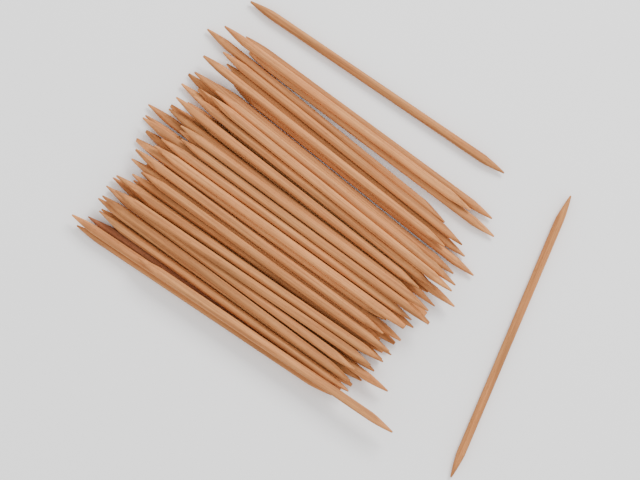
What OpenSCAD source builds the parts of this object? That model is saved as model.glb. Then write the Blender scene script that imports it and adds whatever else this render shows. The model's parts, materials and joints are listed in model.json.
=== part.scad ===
// Orange-wood cuticle pushers: a heap of turned double-ended sticks with two more lying loose.
// Each stick has a point at one end and a slanted hoof at the other.

/* [Stick] */
// Length of a stick, tip to tip
stick_len = 114.3; // [90:0.1:180]
// Diameter of the straight shaft
stick_d = 3.4; // [2.6:0.1:6]

/* [Pointed end] */
// Length of the turned point
point_len = 9.5; // [6:0.5:16]
// Diameter of the point at its very tip
point_tip_d = 0.6; // [0.3:0.1:1]

/* [Hoof end] */
// Length of the rounded, slanted end that pushes the cuticle
hoof_len = 11; // [8:0.5:18]
// Width of the hoof at its tip
hoof_tip_d = 1.3; // [0.8:0.1:2]
// Width of the hoof at its tip on the sticks that were left blunt
blunt_tip_d = 2.4; // [1.5:0.1:2.5]
// Thickness of wood left at the tip by the slanted cut
hoof_edge = 0.45; // [0.3:0.05:0.7]

/* [Heap] */
// Clearance kept between sticks that rest on each other
rest_gap = 0.1; // [0.08:0.01:0.3]
// Direction that the heap lies in, in degrees
heap_turn = -35.5; // [-180:0.5:180]
// How far a stick may slide sideways into a hollow as it comes down
slide_max = 1.2; // [0.4:0.1:2]

/* [Loose sticks] */
// Distance of the stick behind the heap from the middle, for sticks 3.4 thick
back_offset = 59; // [56:0.5:100]
// How much further out than half a stick's length the stick at the right lies
side_offset = 21.55; // [19:0.05:60]

/* [Hidden] */
shaft_r = stick_d / 2;
half_len = stick_len / 2;
// A stick is tested against those under it every few millimetres along it.
test_step = 3;
slices = ceil(half_len / test_step);
// Sideways places tried to each side, and the drop a stick must gain for each unit of slide.
slide_tries = 4;
slide_cost = 0.5;
// Straight steps that each turned end is made of, and facets round a stick.
end_steps = 6;
round_fn = 48;
// The heap's places are written for sticks this thick, and spread sideways with thicker ones.
written_d = 3.4;
spread = stick_d / written_d;
// Corner left off the hoof's blunt tip.
tip_ease = 0.25;
// How full the point is turned: its swell over a straight cone is this part of the radius.
point_fullness = 1 / 12;

// Sticks are written [x, y, turn, roll, hoof right, blunt], in the heap's own directions:
// x along it, y across it, turn in degrees off x and roll about the stick's own axis.
// Hoof right and blunt are 1 for yes. Settling adds the middle's height and the pitch.

// Sticks that lie on the table under the others, of which only ends show.
FLOOR_STICKS = [
    [-19.0, 14.4, -3.1, 40, 1, 0],
    [-13.0, 10.5, -2.6, 90, 0, 0],
    [-17.5, 6.6, -2.2, 20, 0, 0],
    [-24.5, 2.7, -1.6, 65, 1, 0],
    [-23.0, -1.2, -1.2, 75, 0, 0],
    [-19.5, -5.2, -0.8, 30, 0, 0],
    [-20.7, -9.1, -0.5, 110, 1, 0],
    [-12.0, -14.9, -0.3, 15, 1, 0],
    [-12.0, -18.7, -0.1, 95, 0, 0],
    [-12.5, -22.5, -0.2, 120, 1, 0],
    [-19.4, -26.3, 0.0, 80, 0, 0],
    [-18.0, -30.1, 0.2, 85, 0, 0],
    [-14.0, -33.9, 0.2, 100, 0, 0],
    [-16.0, -37.6, 0.4, 25, 1, 0]
];

// Sticks between those and the top ones.
MIDDLE_STICKS = [
    [-12.5, 16.2, -3.1, 40, 0, 0],
    [-8.0, 8.6, -2.5, 90, 1, 1],
    [-9.0, 1.6, -1.2, 10, 1, 1],
    [-11.0, -13.3, -0.3, 60, 1, 0],
    [-14.0, -20.4, 0.2, 35, 1, 0],
    [-12.5, -28.0, 0.4, 70, 1, 0]
];

// Sticks that show along their length and lie on the table, where the heap is thin.
SHOWN_LOW = [
    [-9.5, 44.6, -0.8, 90, 0, 0],
    [-5.0, 40.6, -1.5, 200, 0, 0],
    [-23.0, 36.2, -3.5, 70, 1, 0],
    [-9.5, 29.7, -3.3, 110, 0, 0],
    [-2.7, 25.4, -2.9, 60, 0, 0],
    [-9.2, 21.9, -3.2, 250, 0, 0],
    [-19.0, 18.5, -3.3, 40, 0, 0],
    [-18.5, -41.2, 0.9, 270, 0, 0],
    [-20.0, -46.2, 1.7, 280, 0, 0]
];

// Sticks that show along their length further up, in the order in which they came down:
// first those in the hollows between other sticks, then those on top.
SHOWN_HIGH = [
    [-17.2, 20.9, -3.5, 290, 0, 0],
    [-2.0, 11.9, -3.0, 95, 0, 0],
    [-17.0, 5.2, -1.9, 120, 1, 0],
    [-23.0, -2.0, -0.8, 90, 1, 0],
    [-10.0, -6.1, -0.2, 65, 0, 0],
    [-20.0, -9.8, -0.3, 0, 0, 0],
    [-17.5, -16.7, -0.3, 100, 1, 0],
    [-18.5, -23.6, 0.2, 130, 1, 0],
    [-4.0, -31.3, 0.5, 85, 0, 0],
    [-19.0, -34.6, -0.6, 60, 1, 0],
    [-13.0, 32.8, -3.2, 100, 1, 0],
    [-18.0, 42.7, -1.1, 75, 0, 0],
    [-18.0, 27.9, -2.9, 240, 0, 0],
    [-6.5, 19.2, -3.3, 95, 1, 0],
    [-12.0, 13.4, -2.9, 80, 1, 0],
    [-17.0, 9.0, -2.5, 105, 0, 0],
    [-9.5, 3.4, -1.1, 70, 1, 0],
    [-12.5, -3.8, -0.2, 85, 1, 0],
    [-13.0, -8.4, -0.4, 170, 1, 1],
    [-18.0, -13.6, -1.0, 55, 0, 0],
    [-11.0, -18.3, -0.6, 95, 1, 0],
    [-12.0, -24.2, 1.1, 65, 0, 0],
    [-19.0, -30.8, -0.8, 80, 0, 0],
    [-16.0, -38.2, -0.1, 90, 0, 0],
    [-6.5, 16.2, -3.3, 60, 0, 0],
    [-6.5, 0.2, -0.9, 50, 1, 1],
    [-15.0, -27.5, 1.1, 115, 1, 0],
    [-18.0, -34.3, -1.2, 60, 1, 0],
    [-23.5, -45.0, 1.5, 15, 1, 1],
    [6.0, -43.2, 1.2, 75, 1, 0]
];

// The two loose sticks, written like settled ones: they lie flat on the table.
LOOSE_BACK = [-15.7, back_offset * spread, 1.3, 250, 0, 0, shaft_r, 0];
LOOSE_SIDE = [half_len + side_offset, 12, -77.4, 110, 0, 0, shaft_r, 0];

// Radius of each end, a distance in from its tip: a long round swell and a nearly straight point.
function hoof_r(reach, tip_d) =
    reach >= hoof_len ? shaft_r
    : tip_d / 2 + (shaft_r - tip_d / 2) * sin(90 * reach / hoof_len);
function point_r(reach) =
    let (share = min(reach / point_len, 1))
    point_tip_d / 2 + (shaft_r - point_tip_d / 2) * (share + point_fullness * sin(180 * share));

// Radius that a stick needs at a distance from its middle, whichever way round it lies.
function girth(s) =
    let (reach = max(half_len - abs(s), 0))
    max(hoof_r(reach, max(hoof_tip_d, blunt_tip_d)), point_r(reach));

// Distance along and across another stick from a point over it.
function along(p, other) = (p[0] - other[0]) * cos(other[2]) + (p[1] - other[1]) * sin(other[2]);
function across(p, other) = (p[1] - other[1]) * cos(other[2]) - (p[0] - other[0]) * sin(other[2]);
function slide(stick, by) = [
    stick[0] - by * sin(stick[2]), stick[1] + by * cos(stick[2]), each [for (i = [2 : 5]) stick[i]]
];
function point_on(stick, s) = [stick[0] + s * cos(stick[2]), stick[1] + s * sin(stick[2])];

// Whether two sticks cross or lie closer together than their width, seen from above.
function near(stick, other) =
    let (
        start = across(point_on(stick, -half_len), other),
        end = across(point_on(stick, half_len), other),
        reach = stick_d + rest_gap + slide_max
    )
    min(abs(start), abs(end)) < reach || start * end < 0;

// Lowest height at which one place along a stick clears the table and the sticks under it.
function lift_at(stick, s, below) =
    let (p = point_on(stick, s))
    max([
        girth(s),
        for (other = below)
            let (
                t = along(p, other),
                w = across(p, other),
                reach = girth(s) + girth(t) + rest_gap
            )
            if (abs(t) < half_len && abs(w) < reach)
                other[6] + t * tan(other[7]) + sqrt(reach * reach - w * w)
    ]);

// A stick comes to rest on the two places, one each side of its middle, that hold it highest,
// or on its middle alone where that is higher still.
function rest_on(stick, below) =
    let (
        lifts = [for (i = [-slices : slices]) lift_at(stick, i * half_len / slices, below)],
        rests = [
            for (a = [0 : slices - 1], b = [slices + 1 : 2 * slices])
                let (rise = (lifts[b] - lifts[a]) / (b - a))
                [lifts[a] + rise * (slices - a), atan(rise * slices / half_len)]
        ],
        top = max([for (rest = rests) rest[0]]),
        pitch = [for (rest = rests) if (rest[0] == top) rest[1]][0]
    )
    concat(stick, [max(top, lifts[slices]), pitch]);

// It also slides a little to one side, into a hollow, where that lets it down further.
function settle(stick, down) =
    let (
        below = [for (other = down) if (near(stick, other)) other],
        tries = [for (i = [-slide_tries : slide_tries])
            let (slid = i * slide_max / slide_tries)
            [rest_on(slide(stick, slid), below), abs(slid) * slide_cost]
        ],
        lowest = min([for (try = tries) try[0][6] + try[1]])
    )
    [for (try = tries) if (try[0][6] + try[1] == lowest) try[0]][0];

// All the sticks of the heap, settled one after another.
DROPS = [
    for (stick = concat(FLOOR_STICKS, SHOWN_LOW, MIDDLE_STICKS, SHOWN_HIGH))
        [stick[0], stick[1] * spread, each [for (i = [2 : 5]) stick[i]]]
];
HEAP = [
    for (
        i = 0, down = [];
        i <= len(DROPS);
        down = i < len(DROPS) ? concat(down, [settle(DROPS[i], down)]) : down,
        i = i + 1
    )
        if (i == len(DROPS)) each down
];

low_start = len(FLOOR_STICKS);
middle_start = low_start + len(SHOWN_LOW);
high_start = middle_start + len(MIDDLE_STICKS);
shown_count = len(SHOWN_LOW) + len(SHOWN_HIGH);

// The heap and the loose sticks are centred on the origin, by the tips that reach furthest.
TIPS = [
    for (stick = concat(HEAP, [LOOSE_BACK, LOOSE_SIDE]), s = [-half_len, half_len])
        let (p = point_on(stick, s))
        [
            p[0] * cos(heap_turn) - p[1] * sin(heap_turn),
            p[0] * sin(heap_turn) + p[1] * cos(heap_turn)
        ]
];
function middle(values) = (min(values) + max(values)) / 2;
centre_shift = [-middle([for (tip = TIPS) tip[0]]), -middle([for (tip = TIPS) tip[1]])];

function two_digits(n) = str(n < 10 ? "0" : "", n);
SHOWN_NAMES = [for (number = [1 : shown_count]) str("heap_stick_", two_digits(number))];

// The turned blank along +X: the round hoof end at -X and the point at +X.
module blank(hoof_tip) {
    hoof_side = [
        for (i = [0 : end_steps])
            let (reach = max(hoof_len * i / end_steps, tip_ease))
            [hoof_r(reach, hoof_tip), reach - half_len]
    ];
    point_side = [
        for (i = [end_steps : -1 : 0])
            let (reach = point_len * i / end_steps)
            [point_r(reach), half_len - reach]
    ];
    rotate([0, 90, 0])
        rotate_extrude($fn = round_fn)
            polygon(concat(
                [[0, -half_len], [hoof_tip / 2 - tip_ease, -half_len]],
                hoof_side,
                point_side,
                [[0, half_len]]
            ));
}

// One cuticle pusher: the blank with a slanted flat that leaves a thin edge at the hoof's tip.
module pusher(blunt = 0) {
    hoof_tip = blunt == 1 ? blunt_tip_d : hoof_tip_d;
    slant = atan((shaft_r + hoof_tip / 2 - hoof_edge) / hoof_len);
    difference() {
        blank(hoof_tip);
        translate([-half_len, 0, hoof_edge - hoof_tip / 2])
            rotate([0, -slant, 0])
                translate([-hoof_len, -stick_d, 0])
                    cube([3 * hoof_len, 2 * stick_d, 2 * stick_d]);
    }
}

// A stick in its settled place in the heap.
module in_heap(stick) {
    translate(concat(centre_shift, [0]))
        rotate([0, 0, heap_turn])
            translate([stick[0], stick[1], stick[6]])
                rotate([0, -stick[7], stick[2]])
                    rotate([stick[3], 0, stick[4] * 180])
                        pusher(stick[5]);
}

// Sticks first to last - 1 of the heap, as separate solids.
module heap_sticks(first, last) {
    for (i = [first : last - 1])
        in_heap(HEAP[i]);
}

module loose_stick_back() {
    color([0.80, 0.60, 0.43])
        in_heap(LOOSE_BACK);
}

module loose_stick_side() {
    color([0.78, 0.58, 0.42])
        in_heap(LOOSE_SIDE);
}

module floor_sticks_back() {
    color([0.73, 0.52, 0.37])
        heap_sticks(0, floor(low_start / 2));
}

module floor_sticks_front() {
    color([0.74, 0.54, 0.38])
        heap_sticks(floor(low_start / 2), low_start);
}

module middle_sticks() {
    color([0.75, 0.55, 0.39])
        heap_sticks(middle_start, high_start);
}

// A stick that shows, by its number: the tan wood varies a little from stick to stick.
module heap_stick(number) {
    tone = 0.04 * sin(number * 97);
    place = number <= len(SHOWN_LOW)
        ? low_start + number - 1
        : high_start + number - 1 - len(SHOWN_LOW);
    color([0.80 + tone, 0.59 + tone, 0.43 + tone / 2])
        in_heap(HEAP[place]);
}

loose_stick_back();
loose_stick_side();
floor_sticks_back();
floor_sticks_front();
middle_sticks();
for (number = [1 : shown_count])
    heap_stick(number);
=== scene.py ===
import json
import math
import random

import bmesh
import bpy
import numpy as np
from mathutils import Matrix, Vector


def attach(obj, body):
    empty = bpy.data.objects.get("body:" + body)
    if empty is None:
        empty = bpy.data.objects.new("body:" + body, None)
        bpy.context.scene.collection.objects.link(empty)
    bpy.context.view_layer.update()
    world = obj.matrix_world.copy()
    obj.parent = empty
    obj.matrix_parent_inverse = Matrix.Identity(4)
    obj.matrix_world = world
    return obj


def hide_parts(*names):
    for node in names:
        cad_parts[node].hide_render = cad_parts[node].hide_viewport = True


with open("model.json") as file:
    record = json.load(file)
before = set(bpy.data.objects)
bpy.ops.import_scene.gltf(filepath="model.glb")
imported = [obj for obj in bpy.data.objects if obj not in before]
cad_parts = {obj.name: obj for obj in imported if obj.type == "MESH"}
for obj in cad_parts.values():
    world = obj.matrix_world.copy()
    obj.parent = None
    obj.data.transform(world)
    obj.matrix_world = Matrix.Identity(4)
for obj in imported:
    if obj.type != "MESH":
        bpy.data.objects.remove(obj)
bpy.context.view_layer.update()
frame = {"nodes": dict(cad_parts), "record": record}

# ---------------------------------------------------------------------------------------------
# The sticks that lie on the table under the heap. Each is a length of pale orange wood, turned
# round on a rod machine, pointed at one end and sanded on a slant at the other to make the hoof.
# ---------------------------------------------------------------------------------------------

MM = 0.001
SAME_POINT = 0.001 * MM


def solids_of(node):
    """Each stick of a node: its corner points, and its faces' normals, areas and middles."""
    bm = bmesh.new()
    bm.from_mesh(frame["nodes"][node].data)
    bmesh.ops.remove_doubles(bm, verts=bm.verts, dist=SAME_POINT)
    bm.faces.index_update()
    seen = set()
    found = []
    for start in bm.verts:
        if start in seen:
            continue
        seen.add(start)
        group, waiting = [], [start]
        while waiting:
            vert = waiting.pop()
            group.append(vert)
            for edge in vert.link_edges:
                other = edge.other_vert(vert)
                if other not in seen:
                    seen.add(other)
                    waiting.append(other)
        faces = {face.index: face for vert in group for face in vert.link_faces}
        faces = [faces[number] for number in sorted(faces)]
        normals = np.array([face.normal for face in faces])
        areas = np.array([face.calc_area() for face in faces])
        middles = np.array([face.calc_center_median() for face in faces])
        found.append((np.array([vert.co for vert in group]), normals, areas, middles))
    bm.free()
    found.sort(key=lambda solid: tuple(np.round(solid[0].mean(axis=0), 5)))
    return found


def ring_centre(points, along):
    """Centre and radius of a ring of points that lies square to the direction along."""
    side = np.cross(along, [0.0, 0.0, 1.0])
    side /= np.linalg.norm(side)
    up = np.cross(side, along)
    base = points.mean(axis=0)
    x, y = (points - base) @ side, (points - base) @ up
    fit = np.linalg.lstsq(np.c_[x, y, np.ones(len(x))], x * x + y * y, rcond=None)[0]
    centre = base + side * fit[0] / 2 + up * fit[1] / 2
    return centre, math.sqrt(fit[2] + (fit[0] ** 2 + fit[1] ** 2) / 4)


RING_SLACK = 0.05 * MM
TIP_DEPTH = 0.3 * MM


def lie_of(solid):
    """How a stick lies and its sizes. The shaft's two end rings give its line and radius."""
    points, normals, areas, middles = solid
    far = points[np.argmax(np.linalg.norm(points - points.mean(axis=0), axis=1))]
    tip = points[np.argmax(np.linalg.norm(points - far, axis=1))]
    along = (tip - far) / np.linalg.norm(tip - far)
    reach = np.sort(points @ along)
    shaft_start = int(np.argmax(np.diff(reach)))
    ends = []
    for level in (reach[shaft_start], reach[shaft_start + 1]):
        ring = points[np.abs(points @ along - level) < RING_SLACK]
        ends.append(ring_centre(ring, along))
    (low, radius), (high, _) = ends
    along = (high - low) / np.linalg.norm(high - low)
    low_len = low @ along - (points @ along).min()
    high_len = (points @ along).max() - high @ along
    if low_len < high_len:
        low, high, low_len, high_len, along = high, low, high_len, low_len, -along
    # The faces that look the same way and cover the most of the hoof are its sanded flat.
    in_hoof = middles @ along < low @ along
    facings = [tuple(facing) for facing in np.round(normals[in_hoof], 2)]
    covered = {}
    for facing, area in zip(facings, areas[in_hoof]):
        covered[facing] = covered.get(facing, 0.0) + area
    flat = normals[in_hoof][facings.index(max(covered, key=covered.get))]
    up = flat - along * (flat @ along)
    up /= np.linalg.norm(up)
    side = np.cross(up, along)
    near_tip = points[points @ along < low @ along - low_len + TIP_DEPTH]
    tip_r = np.abs((near_tip - low) @ side).max()
    return {
        "low": low, "along": along, "up": up, "side": side, "radius": radius,
        "shaft": float(np.linalg.norm(high - low)), "hoof": low_len, "point": high_len,
        "hoof_tip_r": tip_r,
    }


# Rings drawn along each part of a stick, in millimetres from the end that they belong to.
HOOF_TIP_RINGS = [0.0, 0.03, 0.08, 0.15, 0.25]
HOOF_RINGS = [0.45 + 0.42 * i for i in range(26)]
POINT_TIP_RINGS = [0.25, 0.14, 0.06, 0.02, 0.0]
SHAFT_RING_COUNT = 58
POINT_RING_COUNT = 24
SHAFT_RING_INSET = 0.4


def rings_along(lie):
    """Distances from the hoof's tip at which the stick's rings are drawn, closer at the ends."""
    length = lie["hoof"] + lie["shaft"] + lie["point"]
    shaft_start = lie["hoof"] / MM + SHAFT_RING_INSET
    shaft_end = (lie["hoof"] + lie["shaft"]) / MM - SHAFT_RING_INSET
    shaft = np.linspace(shaft_start, shaft_end, SHAFT_RING_COUNT)
    point = [lie["point"] / MM * (1 - i / POINT_RING_COUNT) for i in range(POINT_RING_COUNT)]
    from_point = [length / MM - reach for reach in point + POINT_TIP_RINGS]
    rings = HOOF_TIP_RINGS + HOOF_RINGS + list(shaft) + from_point
    return [ring * MM for ring in sorted(set(round(ring, 4) for ring in rings))], length


# The point's sides are slightly bulged, and tumbling has rounded both tips over.
POINT_TIP_R = 0.3 * MM
POINT_BULGE = 1 / 12
TIP_ROUNDING = 0.22 * MM
MOST_TIP_LOSS = 0.9


def stick_radius(lie, s, length):
    """Radius of the turned wood at s from the hoof's tip, with the very tips eased over."""
    hoof_share = min(s / lie["hoof"], 1.0)
    tip_r = lie["hoof_tip_r"]
    hoof = tip_r + (lie["radius"] - tip_r) * math.sin(math.pi / 2 * hoof_share)
    share = min((length - s) / lie["point"], 1.0)
    swell = share + math.sin(math.pi * share) * POINT_BULGE
    point = POINT_TIP_R + (lie["radius"] - POINT_TIP_R) * swell
    radius = min(hoof, point)
    for reach in (s, length - s):
        if reach < TIP_ROUNDING:
            drop = 1 - math.sqrt(max(0.0, 1 - (1 - reach / TIP_ROUNDING) ** 2))
            radius -= min(TIP_ROUNDING, radius * MOST_TIP_LOSS) * drop
    return radius


def soft_min(a, b, blur):
    """The smaller of a and b, rounded over where they meet."""
    mix = np.clip(0.5 + 0.5 * (b - a) / blur, 0.0, 1.0)
    return b * (1 - mix) + a * mix - blur * mix * (1 - mix)


POINTS_AROUND = 44
FLAT_SHARE = 0.42


def angles_around(half_flat):
    """Angles round the stick from its flat: a fixed share of them lies across the flat."""
    on_flat = int(POINTS_AROUND * FLAT_SHARE) // 2 * 2
    rest = POINTS_AROUND - on_flat
    across = np.linspace(-1, 1, on_flat + 1)[:-1]
    across = np.sin(across * math.pi / 2) * half_flat
    around = half_flat + (2 * math.pi - 2 * half_flat) * np.arange(rest) / rest
    return np.concatenate([across, around])


def waver_at(s, angle, seed):
    """The slight unroundness that rod turning and tumbling leave, from about -1 to 1."""
    lobes = np.sin(2 * angle + seed * 5 + s * 14) * 0.35 + np.sin(5 * angle + seed * 11) * 0.25
    lengthwise = math.sin(s * 75 + seed * 9) * 0.3 + math.sin(s * 190 + seed * 23) * 0.2
    return lobes + lengthwise


# The hoof's flat runs out to an edge this thick, and its own edges are just eased.
HOOF_EDGE = 0.45 * MM
FLAT_ROUNDING = 0.05 * MM
SANDED_EDGE = 0.1 * MM
# The most that a stick is out of round, as a share of its radius.
MOST_WAVER = 0.012
# Half the angle that the flat's share of the points may take, how much wider it gets past the
# hoof, and over what length.
NARROWEST_FLAT = math.radians(8)
WIDEST_FLAT = math.radians(150)
SPREAD_OUT = math.pi * FLAT_SHARE * 0.9
SPREAD_WITHIN = 12 * MM
# How far apart in the wood two sticks may have been cut, in millimetres.
LOG_SIZE = np.array([37.0, 11.0, 23.0])


def turn_stick(name, lie, seed):
    """One stick, drawn with x towards the point and z up from the flat, then laid in place."""
    rings, length = rings_along(lie)
    slant = (lie["radius"] + lie["hoof_tip_r"] - HOOF_EDGE) / lie["hoof"]
    verts, grain, cut = [], [], []
    in_log = seed * LOG_SIZE
    for s in rings:
        radius = stick_radius(lie, s, length)
        flat_z = HOOF_EDGE - lie["hoof_tip_r"] + slant * s
        half_cut = math.acos(max(-1.0, min(1.0, flat_z / radius)))
        past = max(0.0, s - lie["hoof"])
        spread = min(1.0, past / SPREAD_WITHIN)
        half_flat = max(half_cut, NARROWEST_FLAT + spread * SPREAD_OUT)
        angle = angles_around(min(half_flat, WIDEST_FLAT))
        steady = min(1.0, s / lie["hoof"], (length - s) / lie["point"])
        around = radius * (1 - MOST_WAVER * (1 - waver_at(s, angle, seed)) * 0.5 * steady)
        y, z = around * np.sin(angle), around * np.cos(angle)
        z_cut = soft_min(z, np.full_like(z, flat_z), FLAT_ROUNDING) if past == 0 else z
        on_cut = np.clip((z - flat_z) / SANDED_EDGE + 0.5, 0, 1) if past == 0 else z * 0
        for i in range(POINTS_AROUND):
            verts.append((s - length / 2, y[i], z_cut[i]))
            grain.append((s / MM + in_log[0], y[i] / MM + in_log[1], z_cut[i] / MM + in_log[2]))
            cut.append(float(on_cut[i]))
    faces = []
    for ring in range(len(rings) - 1):
        a, b = ring * POINTS_AROUND, (ring + 1) * POINTS_AROUND
        for i in range(POINTS_AROUND):
            j = (i + 1) % POINTS_AROUND
            faces.append((a + i, b + i, b + j, a + j))
    for ring, flip in ((0, 1), (len(rings) - 1, -1)):
        start = ring * POINTS_AROUND
        middle = np.mean(verts[start:start + POINTS_AROUND], axis=0)
        hub = len(verts)
        verts.append(tuple(middle))
        grain.append(tuple(middle / MM + in_log))
        cut.append(cut[start])
        for i in range(POINTS_AROUND):
            j = (i + 1) % POINTS_AROUND
            faces.append((hub, start + i, start + j)[::flip])
    mesh = bpy.data.meshes.new(name)
    mesh.from_pydata(verts, [], faces)
    mesh.attributes.new("grain_at", "FLOAT_VECTOR", "POINT")
    mesh.attributes["grain_at"].data.foreach_set("vector", np.ravel(grain))
    mesh.attributes.new("sanded_cut", "FLOAT", "POINT")
    mesh.attributes["sanded_cut"].data.foreach_set("value", cut)
    mesh.attributes.new("tone", "FLOAT", "POINT")
    mesh.attributes["tone"].data.foreach_set("value", [seed] * len(verts))
    for polygon in mesh.polygons:
        polygon.use_smooth = True
    mesh.update()
    piece = bpy.data.objects.new(name, mesh)
    bpy.context.scene.collection.objects.link(piece)
    mesh.transform(Matrix((lie["along"], lie["side"], lie["up"])).transposed().to_4x4())
    piece.location = lie["low"] + lie["along"] * (length / 2 - lie["hoof"])
    return piece


FIBRE_SHOWS = 0.85
SANDED_SHOWS = 0.55
SMOOTHEST, ROUGHEST = 0.55, 0.78
SHINE = 0.10
PORE_RELIEF = 0.5
RELIEF_STRENGTH = 0.35
RELIEF_DEPTH = 0.05 * MM


def wood(name, pale, deep, pores_show):
    """Bare sanded orange wood: long straight grain, short pores and a duller sanded flat."""
    material = bpy.data.materials.new(name)
    material.use_nodes = True
    nodes, links = material.node_tree.nodes, material.node_tree.links
    shader = nodes["Principled BSDF"]

    def add(kind, **values):
        node = nodes.new(kind)
        for key, value in values.items():
            if hasattr(node, key):
                setattr(node, key, value)
            else:
                node.inputs[key.replace("_", " ")].default_value = value
        return node

    def stretched(source, scale):
        """Grain coordinates squeezed along the stick, so that noise runs lengthwise."""
        squeeze = add("ShaderNodeMapping")
        squeeze.inputs["Scale"].default_value = scale
        links.new(source, squeeze.inputs["Vector"])
        return squeeze.outputs["Vector"]

    def mixed(blend, factor, a, b):
        mix = add("ShaderNodeMix", data_type="RGBA", blend_type=blend)
        for socket, value in ((0, factor), (6, a), (7, b)):
            if isinstance(value, bpy.types.NodeSocket):
                links.new(value, mix.inputs[socket])
            else:
                mix.inputs[socket].default_value = value
        return mix.outputs[2]

    def ramp(source, *stops):
        node = add("ShaderNodeValToRGB")
        band = node.color_ramp
        while len(band.elements) < len(stops):
            band.elements.new(0.5)
        for element, (place, colour) in zip(band.elements, stops):
            element.position = place
            element.color = (*colour, 1)
        links.new(source, node.inputs["Fac"])
        return node.outputs["Color"]

    grain_at = add("ShaderNodeAttribute", attribute_name="grain_at").outputs["Vector"]
    tone = add("ShaderNodeAttribute", attribute_name="tone").outputs["Fac"]
    sanded = add("ShaderNodeAttribute", attribute_name="sanded_cut").outputs["Fac"]

    rings = add("ShaderNodeTexNoise", Scale=1.0, Detail=3.0, Roughness=0.55)
    links.new(stretched(grain_at, (0.02, 0.9, 0.9)), rings.inputs["Vector"])
    fibre = add("ShaderNodeTexNoise", Scale=1.0, Detail=4.0, Roughness=0.65)
    links.new(stretched(grain_at, (0.09, 6.0, 6.0)), fibre.inputs["Vector"])
    pores = add("ShaderNodeTexNoise", Scale=1.0, Detail=2.0, Roughness=0.5)
    links.new(stretched(grain_at, (0.5, 9.0, 9.0)), pores.inputs["Vector"])
    cloud = add("ShaderNodeTexNoise", Scale=1.0, Detail=2.0, Roughness=0.5)
    links.new(stretched(grain_at, (0.05, 0.3, 0.3)), cloud.inputs["Vector"])

    grain = ramp(rings.outputs["Fac"], (0.36, deep), (0.60, pale))
    fine = ramp(fibre.outputs["Fac"], (0.32, (0.72, 0.70, 0.68)), (0.60, (1.0, 1.0, 1.0)))
    flecks = ramp(pores.outputs["Fac"], (0.30, (0.50, 0.40, 0.32)), (0.38, (1.0, 1.0, 1.0)))
    warmth = ramp(cloud.outputs["Fac"], (0.35, (1.0, 0.94, 0.90)), (0.65, (0.98, 1.0, 1.0)))
    stick_tone = ramp(
        tone, (0.0, (0.82, 0.80, 0.78)), (0.35, (0.94, 0.93, 0.92)),
        (0.7, (1.03, 1.02, 1.01)), (1.0, (1.15, 1.13, 1.11)),
    )
    colour = mixed("MULTIPLY", FIBRE_SHOWS, grain, fine)
    colour = mixed("MULTIPLY", pores_show, colour, flecks)
    colour = mixed("MULTIPLY", 1.0, colour, warmth)
    colour = mixed("MULTIPLY", 1.0, colour, stick_tone)
    cut_share = add("ShaderNodeMath", operation="MULTIPLY")
    links.new(sanded, cut_share.inputs[0])
    cut_share.inputs[1].default_value = SANDED_SHOWS
    colour = mixed("MULTIPLY", cut_share.outputs[0], colour, (0.93, 0.88, 0.82, 1))
    links.new(colour, shader.inputs["Base Color"])

    dull = add("ShaderNodeMapRange")
    dull.inputs["To Min"].default_value = SMOOTHEST
    dull.inputs["To Max"].default_value = ROUGHEST
    links.new(fibre.outputs["Fac"], dull.inputs["Value"])
    links.new(dull.outputs["Result"], shader.inputs["Roughness"])
    shader.inputs["Specular IOR Level"].default_value = SHINE

    relief = add("ShaderNodeMath", operation="MULTIPLY_ADD")
    links.new(pores.outputs["Fac"], relief.inputs[0])
    relief.inputs[1].default_value = PORE_RELIEF
    links.new(fibre.outputs["Fac"], relief.inputs[2])
    bump = add("ShaderNodeBump")
    bump.inputs["Strength"].default_value = RELIEF_STRENGTH
    bump.inputs["Distance"].default_value = RELIEF_DEPTH
    links.new(relief.outputs[0], bump.inputs["Height"])
    links.new(bump.outputs["Normal"], shader.inputs["Normal"])
    return material


PALE_WOOD, PALE_GRAIN = (0.67, 0.296, 0.110), (0.43, 0.182, 0.070)
orange_wood = wood("orange_wood", PALE_WOOD, PALE_GRAIN, pores_show=0.8)


def lay_sticks(node, material):
    """Stands a finished stick in for each solid of a CAD node, on that node's own body."""
    bodies = frame["record"]["behaviour"]["bodies"]
    body = next(name for name, nodes in bodies.items() if node in nodes)
    solids = solids_of(node)
    draw = random.Random(node)
    for number, solid in enumerate(solids, start=1):
        name = node + "_wood" if len(solids) == 1 else f"{node}_{number}_wood"
        piece = turn_stick(name, lie_of(solid), draw.random())
        piece.data.materials.append(material)
        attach(piece, body)
        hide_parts(node)


for node in ("floor_sticks_back", "floor_sticks_front"):
    lay_sticks(node, orange_wood)

# ---------------------------------------------------------------------------------------------
# The sticks between the bottom ones and the top ones, of the same wood. They rest in the
# hollows and show mostly as ends that stick out at both sides of the heap.
# ---------------------------------------------------------------------------------------------

lay_sticks("middle_sticks", orange_wood)

# ---------------------------------------------------------------------------------------------
# The sticks of the heap that show along their length, from its edges to its top. They are of
# the same wood and only rest on each other. One of them near the front is cut from redder
# heartwood and looks darker than the rest.
# ---------------------------------------------------------------------------------------------

RED_STICK = "heap_stick_08"
RED_WOOD, RED_GRAIN = (0.43, 0.175, 0.085), (0.27, 0.095, 0.044)
heartwood = wood("red_heartwood", RED_WOOD, RED_GRAIN, pores_show=0.9)

for node in sorted(n for n in frame["nodes"] if n.startswith("heap_stick_")):
    if node == RED_STICK:
        lay_sticks(node, heartwood)
    else:
        lay_sticks(node, orange_wood)

# ---------------------------------------------------------------------------------------------
# The two loose sticks, one behind the heap and one at its side. They are the same turned
# sticks, lying alone on the table, so all of their shape shows.
# ---------------------------------------------------------------------------------------------

for node in ("loose_stick_back", "loose_stick_side"):
    lay_sticks(node, orange_wood)

# ---------------------------------------------------------------------------------------------
# The table that the sticks are laid out on: one plain white matt sheet, larger than any view
# of the sticks. It isn't part of the set.
# ---------------------------------------------------------------------------------------------

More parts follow.
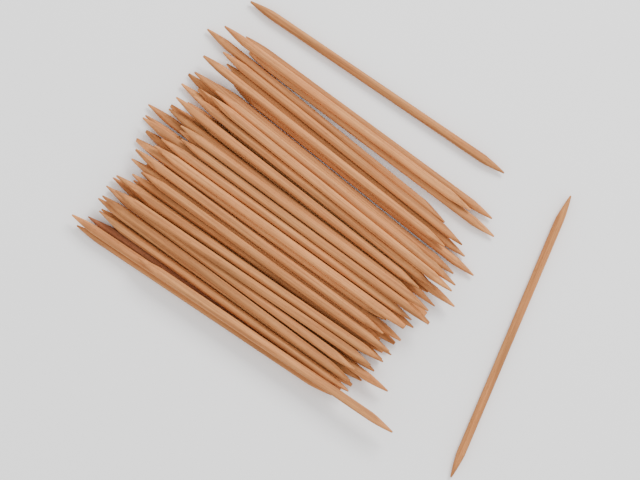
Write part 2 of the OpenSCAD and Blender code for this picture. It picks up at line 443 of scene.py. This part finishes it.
HALF_TABLE = 3.0
TABLE_WHITE = (0.96, 0.96, 0.96, 1)
corners = [(-1, -1), (1, -1), (1, 1), (-1, 1)]
corners = [(x * HALF_TABLE, y * HALF_TABLE, 0) for x, y in corners]
table_mesh = bpy.data.meshes.new("table")
table_mesh.from_pydata(corners, [], [(0, 1, 2, 3)])
table = bpy.data.objects.new("table", table_mesh)
bpy.context.scene.collection.objects.link(table)
table_paint = bpy.data.materials.new("table_white")
table_paint.use_nodes = True
table_shader = table_paint.node_tree.nodes["Principled BSDF"]
table_shader.inputs["Base Color"].default_value = TABLE_WHITE
table_shader.inputs["Roughness"].default_value = 0.9
table_shader.inputs["Specular IOR Level"].default_value = 0.1
table_mesh.materials.append(table_paint)

# ---------------------------------------------------------------------------------------------
# Soft studio light: a white sky all round, and one broad square lamp behind the heap that
# throws its light across the sticks.
# ---------------------------------------------------------------------------------------------

LAMP_PLACE = (0.6, 0.85, 0.9)
LAMP_SIZE = 0.5
LAMP_WATTS = 17
SKY_STRENGTH = 1.3

lamp_data = bpy.data.lights.new("side_lamp", "AREA")
lamp_data.shape = "SQUARE"
lamp_data.size = LAMP_SIZE
lamp_data.energy = LAMP_WATTS
lamp = bpy.data.objects.new("side_lamp", lamp_data)
bpy.context.scene.collection.objects.link(lamp)
lamp.location = LAMP_PLACE
lamp.rotation_euler = (-Vector(LAMP_PLACE)).to_track_quat("-Z", "Y").to_euler()

sky = bpy.data.worlds.new("white_sky")
sky.use_nodes = True
sky_light = sky.node_tree.nodes["Background"]
sky_light.inputs["Color"].default_value = (1.0, 1.0, 1.0, 1)
sky_light.inputs["Strength"].default_value = SKY_STRENGTH
bpy.context.scene.world = sky

# ---------------------------------------------------------------------------------------------
# The camera looks straight down from above the middle of the heap, and its lens takes in both
# loose sticks.
# ---------------------------------------------------------------------------------------------

FIELD_WIDTH = 0.2382
CAMERA_HEIGHT = 0.75
SENSOR_WIDTH = 36
AIM = (-0.0005, -0.0003, 0.004)

camera_data = bpy.data.cameras.new("camera")
camera_data.sensor_width = SENSOR_WIDTH
camera_data.lens = SENSOR_WIDTH * (CAMERA_HEIGHT - AIM[2]) / FIELD_WIDTH
camera_data.clip_end = 20
camera = bpy.data.objects.new("camera", camera_data)
bpy.context.scene.collection.objects.link(camera)
camera.location = (AIM[0], AIM[1], CAMERA_HEIGHT)
bpy.context.scene.camera = camera
